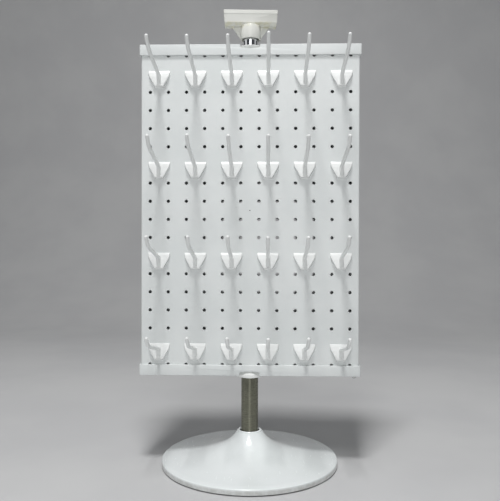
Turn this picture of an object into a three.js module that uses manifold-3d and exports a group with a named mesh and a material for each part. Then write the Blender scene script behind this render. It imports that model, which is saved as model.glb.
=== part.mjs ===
// Countertop pegboard spinner: a two-sided pegboard box that turns on a pole,
// a trumpet base under it, a swivelling sign clip above it and hooks on its front.
// Millimetres, +Z up. Origin: centre of the base, on the surface it stands on.
// The pole is the Z axis, the pegboards are wide along X, the hooks reach towards -Y.

import * as THREE from 'three';
import { mergeVertices } from 'three/addons/utils/BufferGeometryUtils.js';
import { ConvexGeometry } from 'three/addons/geometries/ConvexGeometry.js';
import Module from 'manifold-3d';

const wasm = await Module();
wasm.setup();

// ---------------------------------------------------------------- driving dimensions

const TURNED_SIDES = 24;
const SMALL_TURNED_SIDES = 12;
const SHELL_SIDES = 32;

// Pegboards: a standard one-inch hole grid.
const PITCH = 25.4;
const COLUMNS = 12;
const ROWS = 18;
const HOLE_R = 2.35;
const HOLE_SIDES = 6;
const HOLE_SIDE_ANGLE = (2 * Math.PI) / HOLE_SIDES;
// The corner radius that gives a faceted hole the round hole's area.
const HOLE_CORNER_R = HOLE_R * Math.sqrt(HOLE_SIDE_ANGLE / Math.sin(HOLE_SIDE_ANGLE));
const BOTTOM_ROW_Z = 141.5;
const TOP_ROW_Z = BOTTOM_ROW_Z + (ROWS - 1) * PITCH;
const PANEL_W = COLUMNS * PITCH;
const PANEL_END = 8.5;
const PANEL_BOTTOM_Z = BOTTOM_ROW_Z - PANEL_END;
const PANEL_TOP_Z = TOP_ROW_Z + PANEL_END;
const PANEL_H = PANEL_TOP_Z - PANEL_BOTTOM_Z;
const FACE_T = 3;
const SIDE_T = 2.5;
const PANEL_EDGE_R = 2;
const BOX_DEPTH = 32;
const SEAM_GAP = 0.3;

// End caps: one moulding, used at the top and, turned over, at the bottom.
const CAP_H = 15.1;
const CAP_W = PANEL_W + 4.8;
const CAP_D = BOX_DEPTH + 4.8;
const CAP_EDGE_R = 2.2;
const CAP_PLATE_T = 2.8;
const POCKET_GAP = 0.2;
const CAP_WEB = CAP_H - PANEL_END;
const BOTTOM_CAP_Z = BOTTOM_ROW_Z - CAP_H;
const TOP_CAP_Z = TOP_ROW_Z + CAP_H;

// Cap screws, at two opposite corners of each cap.
const SCREW_X = PANEL_W / 2 - 6.1;
const SCREW_Y = 11.3;
const SCREW_SHANK_R = 1.4;
const SCREW_LENGTH = 20;
const SCREW_HEAD_R = 2.8;
const SCREW_HEAD_H = 3.3;
const SCREW_BOSS = 7;
const SCREW_BOSS_DEPTH = 22;

// Base: a trumpet skin over a cast weight on four pads.
const RIM_R = 123.8;
const RIM_TOP_Z = 9;
const SKIRT_BOTTOM_Z = 1.5;
const SKIN_T = 1.5;
const RIM_EDGE_R = 1.5;
const FLARE_SCALE = 1279;
const FLARE_OFFSET = 10.6;
const NECK_R = 16.9;
const NECK_ROLL_R = 1.7;
const NECK_TOP_Z = 47.4;
const WEIGHT_BOTTOM_Z = 4;
const WEIGHT_TOP_Z = 8;
const WEIGHT_R = 121.5;
const BOSS_R = 20;
const BOSS_TOP_Z = 30;
const SOCKET_FLOOR_Z = 16;
const BOLT_RECESS_R = 11.5;
const BOLT_RECESS_TOP_Z = 12;
const FOOT_R = 8;
const FOOT_CIRCLE_R = 98;

// Pole, the tube around its lower end, and the bolt that holds both to the weight.
const POLE_R = 10;
const POLE_BORE_R = 8.5;
const POLE_TOP_Z = 617;
const TUBE_R = 12;
const TUBE_BORE_R = 10.3;
const TUBE_TOP_Z = 122;
const BOLT_R = 4;
const BOLT_HEAD_ACROSS = 13;
const BOLT_HEAD_H = 5.3;
const WASHER_R = 9;
const WASHER_T = 1.6;
const PLUG_TOP_Z = 34;
const BOLT_TOP_Z = 32;

// Plastic bearings between the pole and the caps.
const BEARING_BORE_R = 10.15;
const BEARING_SLEEVE_R = 11.8;
const SLEEVE_HOLE_R = 12;
const BEARING_SHOULDER_R = 15;
const BEARING_R = 19;
const BEARING_LENGTH = 20;
const SEAT_R = 23;
const SEAT_RIM_DEPTH = 4.5;
const SEAT_DEPTH = 6.1;
const SEAT_FLAT_R = 18.3;
const THRUST_WASHER_R = 14;
const THRUST_WASHER_T = 1.1;
const THRUST_GAP = 0.1;

// Sign clip: a trough with a card slot, on a conical socket that turns on the pole.
const CLIP_TURN = THREE.MathUtils.degToRad(3);
const CLIP_W = 76;
const CLIP_D = 22;
const CLIP_TOP_Z = 638.6;
const CLIP_FLOOR_Z = 620.5;
const CLIP_BOTTOM_Z = 617.8;
const CLIP_WALL = 2.2;
const CLIP_CHAMFER = 3.5;
const CLIP_RIM_H = 5.5;
const CLIP_RIM = 0.4;
const SLOT_W = 6;
const SLOT_RIB_T = 2;
const SLOT_TOP_Z = 634.6;
const SOCKET_BOTTOM_Z = 599.6;
const SOCKET_BOTTOM_R = 14.8;
const SOCKET_TOP_R = 14;
const SOCKET_SHOULDER = 1.6;
const SOCKET_MOUTH_R = 12.4;
const SOCKET_MOUTH_DEPTH = 9;
const SOCKET_BORE_R = 10.15;
const GUSSET_REACH = 27.5;
const GUSSET_T = 2.4;

// Hooks: a tapered plate with two prongs and one round arm, every fifth row.
const HOOK_ROWS = [1, 6, 11, 16];
const HOOK_COLUMNS = 6;
const HOOK_GAP = 0.1;
const PLATE_TOP = 4.2;
const PLATE_SHOULDER = -2.4;
const PLATE_BOTTOM = -19.8;
const PLATE_TOP_HALF = 15.4;
const PLATE_BOTTOM_HALF = 5.8;
const PLATE_BEVEL = 1.2;
// The face's profile, [thickness, z], from its curved top to its lower edge.
const PLATE_FACE = [[1, 3.9], [2.6, 1], [4, -4.5], [4.7, -11], [4.9, -17.6]];
const ARM_R = 2.6;
const ARM_SIDES = 6;
const ARM_ROOT_Z = -4;
const ARM_STEPS = 4;
const ARM_ROOT_IN = 1.2;
const ARM_REACH = 93;
const ARM_BEND_START = 69;
const ARM_BEND_LEAD = 14;
const ARM_SLOPE = Math.tan(THREE.MathUtils.degToRad(12));
const ARM_TIP_Z = 25.3;
const ARM_RIB_REACH = 17;
const ARM_RIB_HALF = 2.6;
const ARM_RIB_END_HALF = 1.3;
const PRONG = 2.6;
const PRONG_BEHIND = 3.2;
const PRONG_LIFT = 5;

// ---------------------------------------------------------------- materials

function finish(color, roughness, metalness) {
  return new THREE.MeshStandardMaterial({ color, roughness, metalness, flatShading: true });
}

const whiteEnamel = finish(0xe9efef, 0.25, 0);
const whitePlastic = finish(0xe4e9e6, 0.4, 0);
const hookPlastic = finish(0xe8ece9, 0.35, 0);
const nylon = finish(0xe2e0d4, 0.5, 0);
const satinSteel = finish(0x8f8e80, 0.35, 1);
const chrome = finish(0xd8dadc, 0.1, 1);
const castIron = finish(0x3d3f41, 0.7, 0.6);
const zincSteel = finish(0xb4b6b4, 0.4, 1);
const rubber = finish(0x232323, 0.9, 0);

// ---------------------------------------------------------------- shape helpers

// A closed solid from a geometry, ready to be joined or cut.
function solid(geometry) {
  geometry.deleteAttribute('normal');
  geometry.deleteAttribute('uv');
  const merged = mergeVertices(geometry, 1e-4);
  return new wasm.Manifold(new wasm.Mesh({
    numProp: 3,
    vertProperties: new Float32Array(merged.attributes.position.array),
    triVerts: new Uint32Array(merged.index.array),
  }));
}

function fromSolid(body) {
  const { vertProperties, triVerts } = body.getMesh();
  const geometry = new THREE.BufferGeometry();
  geometry.setAttribute('position', new THREE.BufferAttribute(vertProperties, 3));
  geometry.setIndex(new THREE.BufferAttribute(triVerts, 1));
  geometry.computeVertexNormals();
  return geometry;
}

function join(first, ...others) {
  return others.reduce((whole, piece) => whole.add(piece), first);
}

function cut(first, ...others) {
  return others.reduce((whole, piece) => whole.subtract(piece), first);
}

// A turned piece about Z. The profile is [radius, z] pairs, up the outside and down
// the inside, and it is closed here when it doesn't start and end on the axis.
function turned(profile, sides = TURNED_SIDES) {
  const points = profile.map(([r, z]) => new THREE.Vector2(r, z));
  const onAxis = profile[0][0] === 0 && profile[profile.length - 1][0] === 0;
  if (!onAxis) points.push(points[0].clone());
  return new THREE.LatheGeometry(points, sides).rotateX(Math.PI / 2);
}

function ring(outerR, innerR, bottomZ, topZ, sides = TURNED_SIDES) {
  return turned([[innerR, bottomZ], [outerR, bottomZ], [outerR, topZ], [innerR, topZ]], sides);
}

function rod(r, bottomZ, topZ, sides = TURNED_SIDES) {
  return turned([[0, bottomZ], [r, bottomZ], [r, topZ], [0, topZ]], sides);
}

function box(x0, x1, y0, y1, z0, z1) {
  return new THREE.BoxGeometry(x1 - x0, y1 - y0, z1 - z0)
    .translate((x0 + x1) / 2, (y0 + y1) / 2, (z0 + z1) / 2);
}

function hull(points) {
  return new ConvexGeometry(points.map(([x, y, z]) => new THREE.Vector3(x, y, z)));
}

// An outline in X and Y, extruded up Z from bottomZ.
function prism(outline, bottomZ, height, curveSegments = 3) {
  return new THREE.ExtrudeGeometry(outline, { depth: height, bevelEnabled: false, curveSegments })
    .translate(0, 0, bottomZ);
}

function roundedRectangle(halfX, halfY, r) {
  const outline = new THREE.Shape();
  outline.absarc(halfX - r, halfY - r, r, 0, Math.PI / 2);
  outline.absarc(-halfX + r, halfY - r, r, Math.PI / 2, Math.PI);
  outline.absarc(-halfX + r, -halfY + r, r, Math.PI, Math.PI * 1.5);
  outline.absarc(halfX - r, -halfY + r, r, Math.PI * 1.5, Math.PI * 2);
  return outline;
}

// ---------------------------------------------------------------- assembly helpers

function part(name, geometry, material, parent) {
  const mesh = new THREE.Mesh(geometry, material);
  mesh.name = name;
  parent.add(mesh);
  return mesh;
}

const stand = new THREE.Group();
const base = new THREE.Group();
const spinner = new THREE.Group();
const signClip = new THREE.Group();
signClip.rotation.z = CLIP_TURN;
stand.add(base, spinner, signClip);

// ---------------------------------------------------------------- base

const flareHeight = (r) => FLARE_SCALE / (r + FLARE_OFFSET);

// Trumpet skin: a skirt, a rounded rim, a hyperbolic flare and a rolled neck.
function baseShell() {
  const rimCentreR = RIM_R - RIM_EDGE_R;
  const rimCentreZ = RIM_TOP_Z - RIM_EDGE_R;
  const rollCentreR = NECK_R - NECK_ROLL_R;
  const rollCentreZ = NECK_TOP_Z - NECK_ROLL_R;
  const flareRadii = [104, 80, 60, 45, 34, 26, 20.5];
  const innerRadii = [18, 24, 34, 50, 80];
  const innerR = RIM_R - SKIN_T;
  const profile = [[innerR, SKIRT_BOTTOM_Z], [RIM_R, SKIRT_BOTTOM_Z], [RIM_R, rimCentreZ]];
  for (const angle of [Math.PI / 4, Math.PI / 2]) {
    profile.push([
      rimCentreR + RIM_EDGE_R * Math.cos(angle),
      rimCentreZ + RIM_EDGE_R * Math.sin(angle),
    ]);
  }
  for (const r of flareRadii) profile.push([r, flareHeight(r)]);
  for (const angle of [0, Math.PI / 3, Math.PI * 2 / 3, Math.PI]) {
    profile.push([
      rollCentreR + NECK_ROLL_R * Math.cos(angle),
      rollCentreZ + NECK_ROLL_R * Math.sin(angle),
    ]);
  }
  for (const r of innerRadii) {
    profile.push([r - SKIN_T * 0.5, flareHeight(r) - SKIN_T * 1.1]);
  }
  profile.push([innerR, RIM_TOP_Z - SKIN_T]);
  return turned(profile, SHELL_SIDES);
}

// Cast weight: a disc with a central boss. The tube and the pole stand in the boss.
function baseWeight() {
  const socketR = TUBE_R + 0.15;
  const boltHoleR = BOLT_R + 0.3;
  return turned([
    [BOLT_RECESS_R, WEIGHT_BOTTOM_Z],
    [WEIGHT_R, WEIGHT_BOTTOM_Z],
    [WEIGHT_R, WEIGHT_TOP_Z - 1.5],
    [WEIGHT_R - 6, WEIGHT_TOP_Z],
    [BOSS_R + 2.5, WEIGHT_TOP_Z],
    [BOSS_R, BOSS_TOP_Z - 4],
    [BOSS_R - 4, BOSS_TOP_Z],
    [socketR, BOSS_TOP_Z],
    [socketR, SOCKET_FLOOR_Z],
    [boltHoleR, SOCKET_FLOOR_Z],
    [boltHoleR, BOLT_RECESS_TOP_Z],
    [BOLT_RECESS_R, BOLT_RECESS_TOP_Z],
  ]);
}

function foot() {
  return turned([
    [0, 0],
    [FOOT_R - 0.8, 0],
    [FOOT_R, 0.8],
    [FOOT_R, WEIGHT_BOTTOM_Z],
    [0, WEIGHT_BOTTOM_Z],
  ], SMALL_TURNED_SIDES);
}

function addFeet() {
  const names = ['foot_back_right', 'foot_back_left', 'foot_front_left', 'foot_front_right'];
  names.forEach((name, i) => {
    const angle = Math.PI / 4 + i * Math.PI / 2;
    const mesh = part(name, foot(), rubber, base);
    mesh.position.set(FOOT_CIRCLE_R * Math.cos(angle), FOOT_CIRCLE_R * Math.sin(angle), 0);
  });
}

// Hexagon head bolt, head down, with its thread in the plug inside the pole.
function baseBolt() {
  const headTop = BOLT_RECESS_TOP_Z - WASHER_T;
  const headR = BOLT_HEAD_ACROSS / 2 / Math.cos(Math.PI / 6);
  return turned([
    [0, headTop - BOLT_HEAD_H],
    [headR, headTop - BOLT_HEAD_H],
    [headR, headTop],
    [BOLT_R, headTop],
    [BOLT_R, BOLT_TOP_Z],
    [0, BOLT_TOP_Z],
  ], 6);
}

function baseWasher() {
  const bottomZ = BOLT_RECESS_TOP_Z - WASHER_T;
  return ring(WASHER_R, BOLT_R + 0.3, bottomZ, BOLT_RECESS_TOP_Z, SMALL_TURNED_SIDES);
}

// Threaded plug pressed into the pole's lower end.
function polePlug() {
  return ring(POLE_BORE_R - 0.4, BOLT_R + 0.3, SOCKET_FLOOR_Z, PLUG_TOP_Z, SMALL_TURNED_SIDES);
}

part('base_shell', baseShell(), whiteEnamel, base);
part('base_weight', baseWeight(), castIron, base);
addFeet();
part('base_bolt', baseBolt(), zincSteel, base);
part('base_washer', baseWasher(), zincSteel, base);
part('pole_plug', polePlug(), zincSteel, base);

// ---------------------------------------------------------------- pole

part('lower_tube', ring(TUBE_R, TUBE_BORE_R, SOCKET_FLOOR_Z, TUBE_TOP_Z), satinSteel, base);
part('centre_pole', ring(POLE_R, POLE_BORE_R, SOCKET_FLOOR_Z, POLE_TOP_Z), chrome, base);

function thrustWasher() {
  return ring(THRUST_WASHER_R, TUBE_BORE_R, TUBE_TOP_Z, TUBE_TOP_Z + THRUST_WASHER_T);
}

part('thrust_washer', thrustWasher(), nylon, base);

// ---------------------------------------------------------------- bearings

// A domed disc in the cap's seat, with a sleeve through the cap. faceZ is how far the
// disc's face stands out of the cap. Modelled disc up, with the cap's face at z = 0.
function bearing(faceZ) {
  return turned([
    [BEARING_BORE_R, -BEARING_LENGTH],
    [BEARING_SLEEVE_R, -BEARING_LENGTH],
    [BEARING_SLEEVE_R, -SEAT_DEPTH],
    [BEARING_SHOULDER_R, -SEAT_DEPTH],
    [BEARING_R - 2.6, -SEAT_DEPTH + 1.7],
    [BEARING_R - 0.8, -SEAT_DEPTH + 3.6],
    [BEARING_R, Math.min(-0.9, faceZ - 0.9)],
    [BEARING_R, faceZ - 0.8],
    [BEARING_R - 0.8, faceZ],
    [BEARING_BORE_R, faceZ],
  ]);
}

// Turns a piece modelled for the top cap over, for the bottom cap.
function placeAtCap(mesh, atTop) {
  if (atTop) {
    mesh.position.z = TOP_CAP_Z;
  } else {
    mesh.rotation.y = Math.PI;
    mesh.position.z = BOTTOM_CAP_Z;
  }
}

const bottomProud = BOTTOM_CAP_Z - (TUBE_TOP_Z + THRUST_WASHER_T + THRUST_GAP);
placeAtCap(part('bottom_bearing', bearing(bottomProud), nylon, spinner), false);
placeAtCap(part('top_bearing', bearing(-0.9), nylon, spinner), true);

// ---------------------------------------------------------------- end caps

// A tray over the ends of both pegboards, with the bearing seat open to front and back.
function endCap() {
  const body = solid(prism(roundedRectangle(CAP_W / 2, CAP_D / 2, CAP_EDGE_R), -CAP_H, CAP_H, 3));
  const pocketX = PANEL_W / 2 + POCKET_GAP;
  const pocketY = BOX_DEPTH / 2 + POCKET_GAP;
  const pocket = solid(box(-pocketX, pocketX, -pocketY, pocketY, -CAP_H - 1, -CAP_WEB));
  const recessY = BOX_DEPTH / 2 - FACE_T - 0.5;
  const recesses = [-1, 1].map((side) => {
    const [x0, x1] = side < 0 ? [-138, -27] : [27, 138];
    return solid(box(x0, x1, -recessY, recessY, -CAP_WEB - 1, -CAP_PLATE_T));
  });
  const seat = solid(turned([
    [0, -SEAT_DEPTH],
    [SEAT_FLAT_R, -SEAT_DEPTH],
    [SEAT_R, -SEAT_RIM_DEPTH],
    [SEAT_R, 1],
    [0, 1],
  ], 32));
  const sleeveHole = solid(rod(SLEEVE_HOLE_R, -CAP_H, 0));
  const screwHoles = [1, -1].map((side) => solid(
    rod(SCREW_SHANK_R + 0.3, -CAP_H, 1, 12).translate(-side * SCREW_X, -side * SCREW_Y, 0)));
  return fromSolid(cut(body, pocket, ...recesses, seat, sleeveHole, ...screwHoles));
}

placeAtCap(part('bottom_cap', endCap(), whitePlastic, spinner), false);
placeAtCap(part('top_cap', endCap(), whitePlastic, spinner), true);

// ---------------------------------------------------------------- pegboards

// The cross-section: a face with a return along each side edge.
function panelSection() {
  const half = PANEL_W / 2;
  const front = -BOX_DEPTH / 2;
  const seam = -SEAM_GAP / 2;
  const section = new THREE.Shape();
  section.moveTo(-half, seam);
  section.lineTo(-half, front + PANEL_EDGE_R);
  section.absarc(-half + PANEL_EDGE_R, front + PANEL_EDGE_R, PANEL_EDGE_R, Math.PI, Math.PI * 1.5);
  section.lineTo(half - PANEL_EDGE_R, front);
  section.absarc(half - PANEL_EDGE_R, front + PANEL_EDGE_R, PANEL_EDGE_R, Math.PI * 1.5, Math.PI * 2);
  section.lineTo(half, seam);
  section.lineTo(half - SIDE_T, seam);
  section.lineTo(half - SIDE_T, front + FACE_T);
  section.lineTo(-half + SIDE_T, front + FACE_T);
  section.lineTo(-half + SIDE_T, seam);
  return section;
}

function pegHoles() {
  const holes = [];
  for (let row = 0; row < ROWS; row += 1) {
    for (let column = 0; column < COLUMNS; column += 1) {
      const x = (column - (COLUMNS - 1) / 2) * PITCH;
      const z = BOTTOM_ROW_Z + row * PITCH;
      const hole = new THREE.CylinderGeometry(HOLE_CORNER_R, HOLE_CORNER_R, FACE_T + 2, HOLE_SIDES)
        .rotateY(Math.PI / HOLE_SIDES)
        .translate(x, -BOX_DEPTH / 2 + FACE_T / 2, z);
      holes.push(solid(hole));
    }
  }
  return holes;
}

// A pillar in the panel's corner with the screw's pilot hole.
function screwBoss(side) {
  const atTop = side < 0;
  const x = side * SCREW_X;
  const endZ = atTop ? PANEL_TOP_Z : PANEL_BOTTOM_Z;
  const innerZ = atTop ? endZ - SCREW_BOSS_DEPTH : endZ + SCREW_BOSS_DEPTH;
  const outerX = side * (PANEL_W / 2 - SIDE_T / 2);
  const innerX = x - side * SCREW_BOSS / 2;
  const [x0, x1] = [Math.min(outerX, innerX), Math.max(outerX, innerX)];
  const [z0, z1] = [Math.min(endZ, innerZ), Math.max(endZ, innerZ)];
  const y0 = -BOX_DEPTH / 2 + FACE_T / 2;
  return solid(box(x0, x1, y0, -SCREW_Y + SCREW_BOSS / 2, z0, z1));
}

function pilotHole(side) {
  const atTop = side < 0;
  const depth = SCREW_BOSS_DEPTH - 4;
  const z0 = atTop ? PANEL_TOP_Z - depth : PANEL_BOTTOM_Z - 1;
  const z1 = atTop ? PANEL_TOP_Z + 1 : PANEL_BOTTOM_Z + depth;
  return solid(rod(SCREW_SHANK_R + 0.1, z0, z1, 12).translate(side * SCREW_X, -SCREW_Y, 0));
}

function pegboard() {
  const skin = solid(prism(panelSection(), PANEL_BOTTOM_Z, PANEL_H, 2));
  const body = join(skin, screwBoss(-1), screwBoss(1));
  return fromSolid(cut(body, ...pegHoles(), pilotHole(-1), pilotHole(1)));
}

part('panel_front', pegboard(), whitePlastic, spinner);
part('panel_back', pegboard(), whitePlastic, spinner).rotation.z = Math.PI;

// ---------------------------------------------------------------- cap screws

function capScrew() {
  return turned([
    [0, -SCREW_LENGTH],
    [SCREW_SHANK_R, -SCREW_LENGTH + 1.5],
    [SCREW_SHANK_R, 0],
    [SCREW_HEAD_R, 0],
    [SCREW_HEAD_R, SCREW_HEAD_H - 0.7],
    [SCREW_HEAD_R - 0.7, SCREW_HEAD_H],
    [0, SCREW_HEAD_H],
  ], SMALL_TURNED_SIDES);
}

function addCapScrew(name, atTop, x, y) {
  const mesh = part(name, capScrew(), zincSteel, spinner);
  placeAtCap(mesh, atTop);
  mesh.position.x = x;
  mesh.position.y = y;
}

addCapScrew('cap_screw_top_front', true, -SCREW_X, -SCREW_Y);
addCapScrew('cap_screw_top_back', true, SCREW_X, SCREW_Y);
addCapScrew('cap_screw_bottom_front', false, SCREW_X, -SCREW_Y);
addCapScrew('cap_screw_bottom_back', false, -SCREW_X, SCREW_Y);

// ---------------------------------------------------------------- hooks

// Modelled at the panel's face: y = 0 is the face, z = 0 is the row of holes.
function hookPlate() {
  const points = [];
  for (const side of [-1, 1]) {
    points.push([side * PLATE_TOP_HALF, 0, PLATE_TOP]);
    points.push([side * PLATE_TOP_HALF, 0, PLATE_SHOULDER]);
    points.push([side * PLATE_BOTTOM_HALF, 0, PLATE_BOTTOM]);
    for (const [thickness, z] of PLATE_FACE) {
      const share = Math.max(0, (PLATE_SHOULDER - z) / (PLATE_SHOULDER - PLATE_BOTTOM));
      const half = PLATE_TOP_HALF + (PLATE_BOTTOM_HALF - PLATE_TOP_HALF) * share;
      points.push([side * (half - PLATE_BEVEL * Math.min(1, thickness / 4)), -thickness, z]);
    }
  }
  return solid(hull(points));
}

const armHeight = (reach) => ARM_ROOT_Z + reach * ARM_SLOPE;

// The arm's centre line: one step of straight, then the bend in the other steps.
class ArmRoute extends THREE.Curve {
  getPoint(t, target = new THREE.Vector3()) {
    const straight = 1 / ARM_STEPS;
    const bendY = -ARM_BEND_START;
    const bendZ = armHeight(ARM_BEND_START);
    if (t <= straight) {
      const start = new THREE.Vector3(0, -ARM_ROOT_IN, armHeight(ARM_ROOT_IN));
      return target.copy(start).lerp(new THREE.Vector3(0, bendY, bendZ), t / straight);
    }
    const controlReach = ARM_BEND_START + ARM_BEND_LEAD;
    const bend = new THREE.QuadraticBezierCurve3(
      new THREE.Vector3(0, bendY, bendZ),
      new THREE.Vector3(0, -controlReach, armHeight(controlReach)),
      new THREE.Vector3(0, -ARM_REACH, ARM_TIP_Z),
    );
    return bend.getPoint((t - straight) / (1 - straight), target);
  }

  getPointAt(u, target) {
    return this.getPoint(u, target);
  }

  getTangentAt(u, target) {
    return this.getTangent(u, target);
  }
}

function hookArm() {
  const section = new THREE.Shape();
  section.absarc(0, 0, ARM_R, 0, Math.PI * 2);
  return solid(new THREE.ExtrudeGeometry(section, {
    extrudePath: new ArmRoute(),
    steps: ARM_STEPS,
    curveSegments: ARM_SIDES / 2,
    bevelEnabled: false,
  }));
}

// The web that carries the arm: wide on the plate, narrow at its outer end.
function hookRib() {
  const [plateT, plateEndZ] = PLATE_FACE[PLATE_FACE.length - 1];
  const rootZ = plateEndZ + 1.4;
  const endZ = armHeight(ARM_RIB_REACH) - 1.4;
  const points = [];
  for (const side of [-1, 1]) {
    points.push([side * ARM_RIB_HALF, -3, rootZ]);
    points.push([side * (ARM_RIB_HALF - 0.4), -plateT - 0.6, rootZ + 0.8]);
    points.push([side * ARM_RIB_END_HALF, -ARM_RIB_REACH, endZ]);
    points.push([side * (ARM_RIB_HALF + 0.4), -3, ARM_ROOT_Z]);
  }
  return solid(hull(points));
}

// A prong passes through its hole and turns up behind the board.
function hookProng(side) {
  const x = side * PITCH / 2;
  const half = PRONG / 2;
  const behind = FACE_T + HOOK_GAP + 0.3;
  const through = solid(box(x - half, x + half, -1, behind + PRONG_BEHIND, -half, half));
  const lift = solid(box(x - half, x + half, behind, behind + PRONG_BEHIND, -half, PRONG_LIFT));
  return through.add(lift);
}

function hook() {
  return fromSolid(join(hookPlate(), hookArm(), hookRib(), hookProng(-1), hookProng(1)));
}

function addHooks() {
  const geometry = hook();
  HOOK_ROWS.forEach((holeRow, row) => {
    for (let column = 0; column < HOOK_COLUMNS; column += 1) {
      const mesh = part(`hook_r${row + 1}_c${column + 1}`, geometry, hookPlastic, spinner);
      mesh.position.set(
        (column - (HOOK_COLUMNS - 1) / 2) * 2 * PITCH,
        -BOX_DEPTH / 2 - HOOK_GAP,
        TOP_ROW_Z - holeRow * PITCH,
      );
    }
  });
}

addHooks();

// ---------------------------------------------------------------- sign clip

// The trough's outside: drafted ends and chamfered lower edges.
function troughBody() {
  const halfW = CLIP_W / 2;
  const halfD = CLIP_D / 2;
  const points = [];
  for (const sx of [-1, 1]) {
    for (const sy of [-1, 1]) {
      points.push([sx * (halfW - CLIP_RIM), sy * (halfD - CLIP_RIM), CLIP_TOP_Z]);
      points.push([sx * (halfW - CLIP_RIM - 0.8), sy * (halfD - CLIP_RIM), CLIP_BOTTOM_Z + CLIP_CHAMFER]);
      points.push([sx * (halfW - CLIP_RIM - 1.8), sy * (halfD - CLIP_CHAMFER), CLIP_BOTTOM_Z]);
    }
  }
  return solid(hull(points));
}

function troughRim() {
  const outline = roundedRectangle(CLIP_W / 2, CLIP_D / 2, 1.2);
  return solid(prism(outline, CLIP_TOP_Z - CLIP_RIM_H, CLIP_RIM_H, 2));
}

function troughHollow() {
  const halfX = CLIP_W / 2 - CLIP_RIM - CLIP_WALL - 0.8;
  const halfY = CLIP_D / 2 - CLIP_RIM - CLIP_WALL;
  const inner = SLOT_W / 2 + SLOT_RIB_T;
  const slot = solid(box(-halfX, halfX, -SLOT_W / 2, SLOT_W / 2, CLIP_FLOOR_Z, CLIP_TOP_Z + 1));
  const chambers = [-1, 1].map((side) => {
    const [y0, y1] = side < 0 ? [-halfY, -inner] : [inner, halfY];
    return solid(box(-halfX, halfX, y0, y1, CLIP_FLOOR_Z + 1.5, CLIP_TOP_Z + 1));
  });
  const above = solid(box(-halfX, halfX, -halfY, halfY, SLOT_TOP_Z, CLIP_TOP_Z + 1));
  return join(slot, ...chambers, above);
}

function clipSocket() {
  return solid(turned([
    [0, SOCKET_BOTTOM_Z],
    [SOCKET_BOTTOM_R, SOCKET_BOTTOM_Z],
    [SOCKET_TOP_R, CLIP_BOTTOM_Z - 0.4],
    [SOCKET_TOP_R - SOCKET_SHOULDER, CLIP_BOTTOM_Z - 0.4 + SOCKET_SHOULDER],
    [0, CLIP_BOTTOM_Z - 0.4 + SOCKET_SHOULDER],
  ]));
}

function socketBore() {
  return solid(turned([
    [0, SOCKET_BOTTOM_Z - 1],
    [SOCKET_MOUTH_R, SOCKET_BOTTOM_Z - 1],
    [SOCKET_MOUTH_R, SOCKET_BOTTOM_Z + SOCKET_MOUTH_DEPTH],
    [SOCKET_BORE_R, SOCKET_BOTTOM_Z + SOCKET_MOUTH_DEPTH + 2],
    [SOCKET_BORE_R, POLE_TOP_Z + 0.3],
    [0, POLE_TOP_Z + 0.3],
  ]));
}

function gusset(side) {
  const half = GUSSET_T / 2;
  const points = [];
  for (const y of [-half, half]) {
    points.push([side * 10.5, y, CLIP_BOTTOM_Z + 1]);
    points.push([side * GUSSET_REACH, y, CLIP_BOTTOM_Z + 1]);
    points.push([side * (SOCKET_BOTTOM_R - 0.8), y, SOCKET_BOTTOM_Z + 1.5]);
    points.push([side * 12.8, y, SOCKET_BOTTOM_Z + 1.5]);
  }
  return solid(hull(points));
}

function clip() {
  const outside = join(troughBody(), troughRim(), clipSocket(), gusset(-1), gusset(1));
  return fromSolid(cut(outside, troughHollow(), socketBore()));
}

part('sign_clip', clip(), whitePlastic, signClip);

export default stand;
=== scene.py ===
"""Looks for the pegboard spinner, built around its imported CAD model.

Every piece is a finer mesh of one CAD node, in metres, in the CAD frame: the pole is the
Z axis, the pegboards are wide along X and the hooks point towards -Y.
"""
import math
import random

import bmesh
import bpy
from mathutils import Euler, Matrix, Vector


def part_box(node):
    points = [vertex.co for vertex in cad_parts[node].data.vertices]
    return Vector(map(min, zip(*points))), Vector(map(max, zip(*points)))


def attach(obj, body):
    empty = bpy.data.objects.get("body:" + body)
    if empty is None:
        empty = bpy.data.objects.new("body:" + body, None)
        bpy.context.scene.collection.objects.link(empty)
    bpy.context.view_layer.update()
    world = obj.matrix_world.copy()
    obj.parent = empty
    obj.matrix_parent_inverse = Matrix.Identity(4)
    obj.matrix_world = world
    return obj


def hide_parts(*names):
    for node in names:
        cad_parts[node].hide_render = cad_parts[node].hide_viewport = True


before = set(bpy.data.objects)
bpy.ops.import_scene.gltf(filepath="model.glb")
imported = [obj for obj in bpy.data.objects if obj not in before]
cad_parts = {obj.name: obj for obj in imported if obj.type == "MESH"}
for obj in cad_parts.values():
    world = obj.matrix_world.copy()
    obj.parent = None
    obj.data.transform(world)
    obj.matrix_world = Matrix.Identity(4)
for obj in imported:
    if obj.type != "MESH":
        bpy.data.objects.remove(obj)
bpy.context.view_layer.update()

MM = 0.001
TAU = 2 * math.pi

# ------------------------------------------------------------------ sizes from the frame

PANEL_LOW, PANEL_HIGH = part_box("panel_front")
CAP_LOW, CAP_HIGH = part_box("top_cap")
SHELL_LOW, SHELL_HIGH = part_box("base_shell")
WEIGHT_LOW, WEIGHT_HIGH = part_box("base_weight")
TUBE_LOW, TUBE_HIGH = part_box("lower_tube")
POLE_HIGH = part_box("centre_pole")[1]
CLIP_LOW, CLIP_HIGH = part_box("sign_clip")

PITCH = 25.4 * MM
COLUMNS = 12
ROWS = 18
PANEL_END = 8.5 * MM
HOLE_R = 2.35 * MM
FACE_T = 3 * MM
SIDE_T = 2.5 * MM
BOX_DEPTH = -2 * PANEL_LOW.y
HOOK_PANEL_ROWS = (16, 11, 6, 1)
HOOK_COLUMNS = 6

ROUND_SIDES = 96
SMOOTH_ANGLE = math.radians(32)


# ------------------------------------------------------------------ mesh helpers

def add_object(name, mesh):
    obj = bpy.data.objects.new(name, mesh)
    bpy.context.scene.collection.objects.link(obj)
    return obj


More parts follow.
